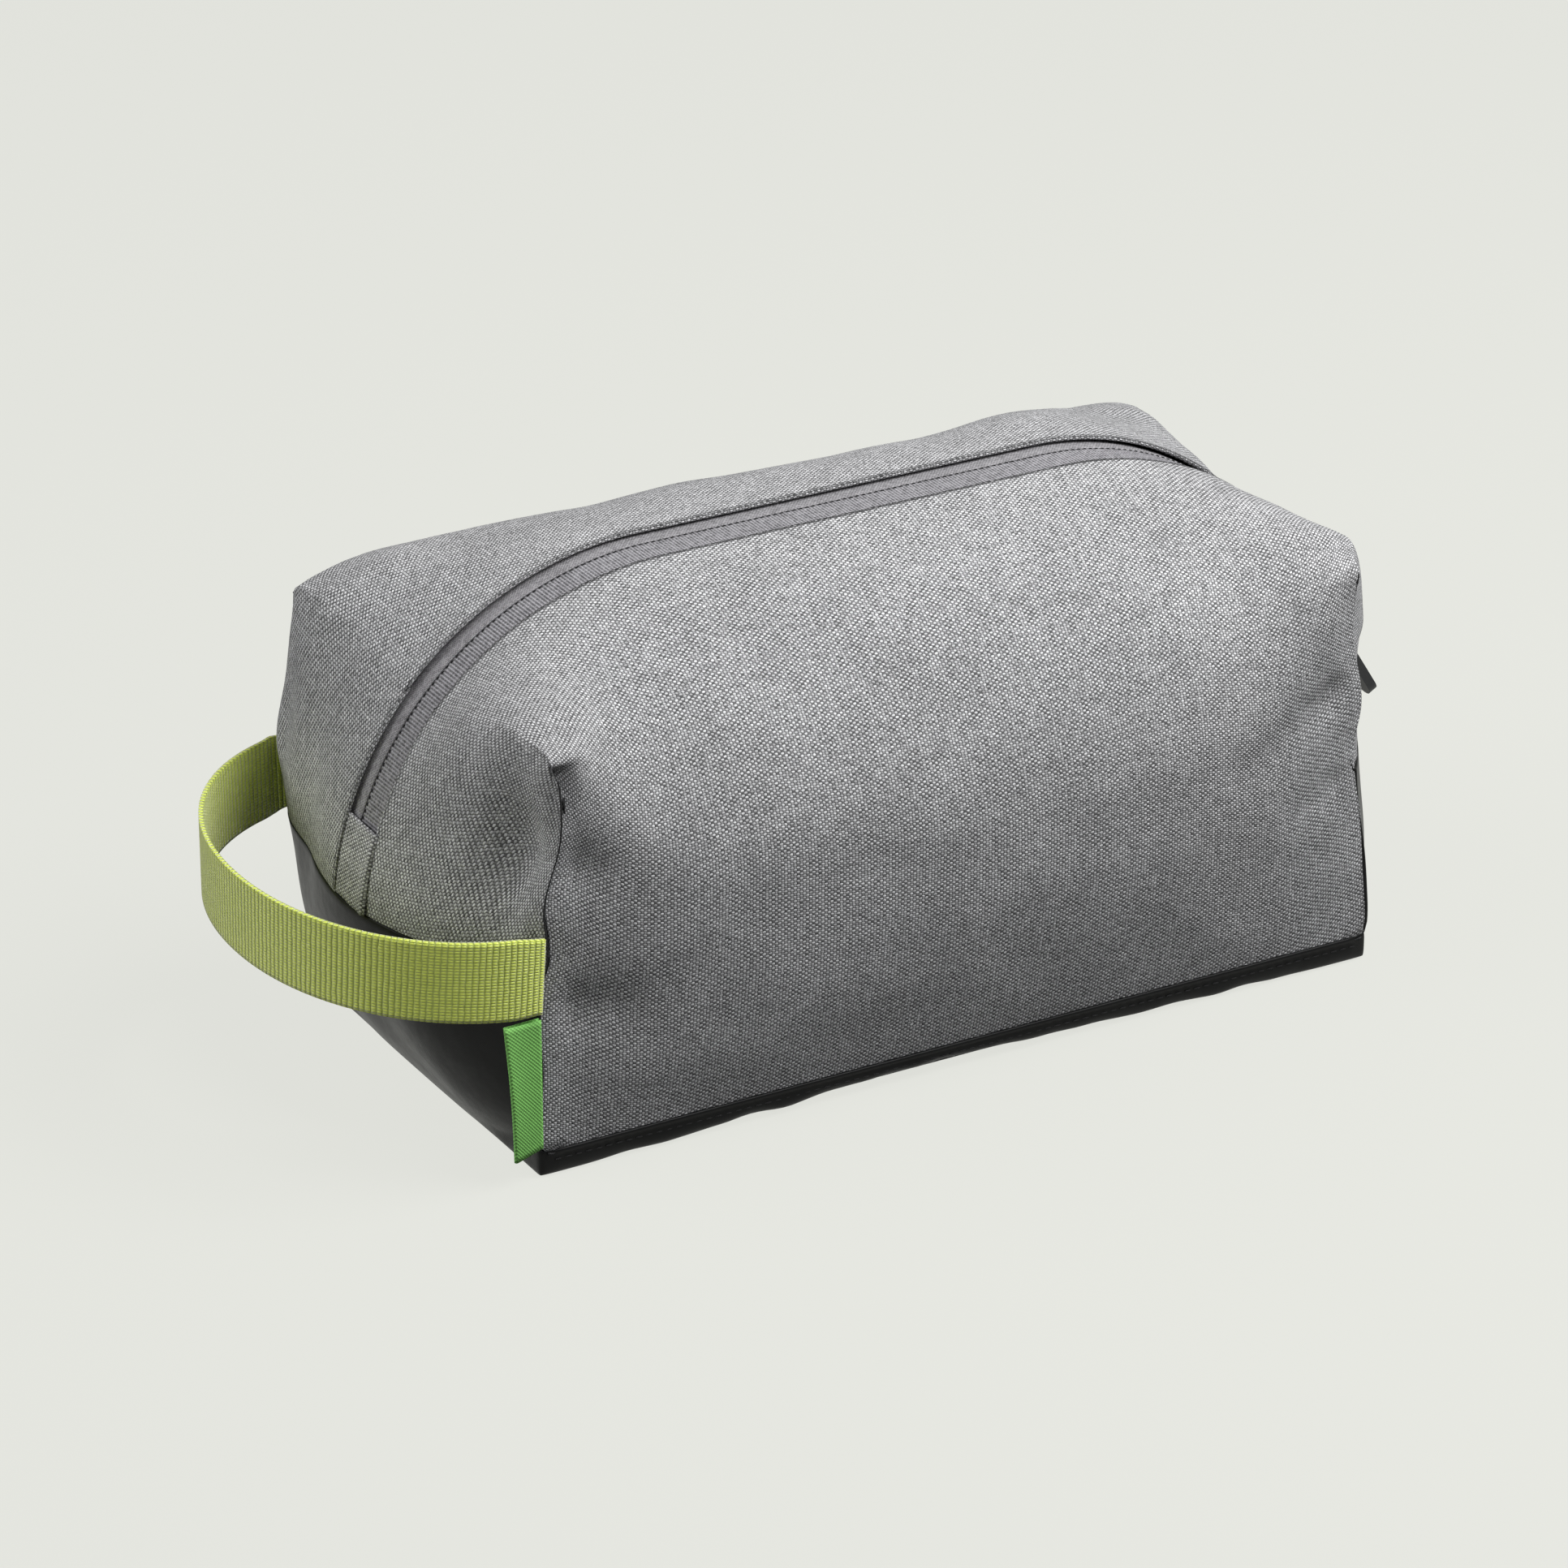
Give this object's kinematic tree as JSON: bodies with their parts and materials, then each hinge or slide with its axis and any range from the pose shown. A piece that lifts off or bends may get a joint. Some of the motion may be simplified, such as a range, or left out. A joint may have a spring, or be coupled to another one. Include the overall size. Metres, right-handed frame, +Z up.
{
  "type": "zipped packing cube",
  "caption": "Soft boxy zipped pouch in grey melange cloth with a coated black base turned up at the ends, an arched zip over the top and a lime webbing loop handle at one end",
  "frame": {"origin": "middle of the flat base, on the level it rests on", "axes": "+X along the length away from the handle, -Y out of the front, +Z up"},
  "size_m": [0.3861, 0.146, 0.155],
  "materials": {
    "coated_cloth": "satin coated",
    "melange_cloth": "two-tone plain weave",
    "zip_tape": "ribbed woven tape",
    "zip_coil": "moulded monofilament",
    "slider_metal": "dark satin",
    "puller_rubber": "matt moulded",
    "webbing": "ribbed webbing",
    "label_weave": "woven satin",
    "binding_tape": "matt woven tape"
  },
  "bodies": {
    "bag": {"base_panel": "coated_cloth", "front_panel": "melange_cloth", "back_panel": "melange_cloth", "left_end_tab": "melange_cloth", "right_end_tab": "melange_cloth", "front_base_binding": "binding_tape", "back_base_binding": "binding_tape", "left_end_binding": "binding_tape", "right_end_binding": "binding_tape", "front_left_corner_binding": "binding_tape", "front_right_corner_binding": "binding_tape", "back_left_corner_binding": "binding_tape", "back_right_corner_binding": "binding_tape"},
    "front_lid": {"front_flap": "melange_cloth", "front_zip_tape": "zip_tape", "front_zip_coil": "zip_coil", "front_dart_bindings": "binding_tape"},
    "back_lid": {"back_flap": "melange_cloth", "back_zip_tape": "zip_tape", "back_zip_coil": "zip_coil", "back_dart_bindings": "binding_tape"},
    "slider": {"zip_slider": "slider_metal"},
    "puller": {"zip_puller": "puller_rubber"},
    "grip": {"handle": "webbing"},
    "label": {"label_tab": "label_weave"}
  },
  "joints": [
    {"name": "front_mouth", "type": "hinge", "parent": "bag", "child": "front_lid", "pos_m": [0, -0.074, 0.084], "axis": [1, 0, 0], "range_deg": [0, 35], "deforming": ["front_zip_tape", "front_zip_coil"]},
    {"name": "back_mouth", "type": "hinge", "parent": "bag", "child": "back_lid", "pos_m": [0, 0.074, 0.084], "axis": [-1, 0, 0], "range_deg": [0, 35], "deforming": ["back_zip_tape", "back_zip_coil"]},
    {"name": "slider_run", "type": "hinge", "parent": "bag", "child": "slider", "pos_m": [0.066, 0, 0.055], "axis": [0, 1, 0], "range_deg": [-62, 0]},
    {"name": "puller_swing", "type": "hinge", "parent": "slider", "child": "puller", "pos_m": [0.16108, 0, 0.09209], "axis": [0, -1, 0], "range_deg": [-5, 120]},
    {"name": "handle_swing", "type": "hinge", "parent": "bag", "child": "grip", "pos_m": [-0.1403, 0, 0.065], "axis": [0, 1, 0], "range_deg": [-20, 30]},
    {"name": "label_flap", "type": "hinge", "parent": "bag", "child": "label", "pos_m": [-0.1408, -0.07, 0.028], "axis": [0, 0, 1], "range_deg": [-40, 110]}
  ]
}
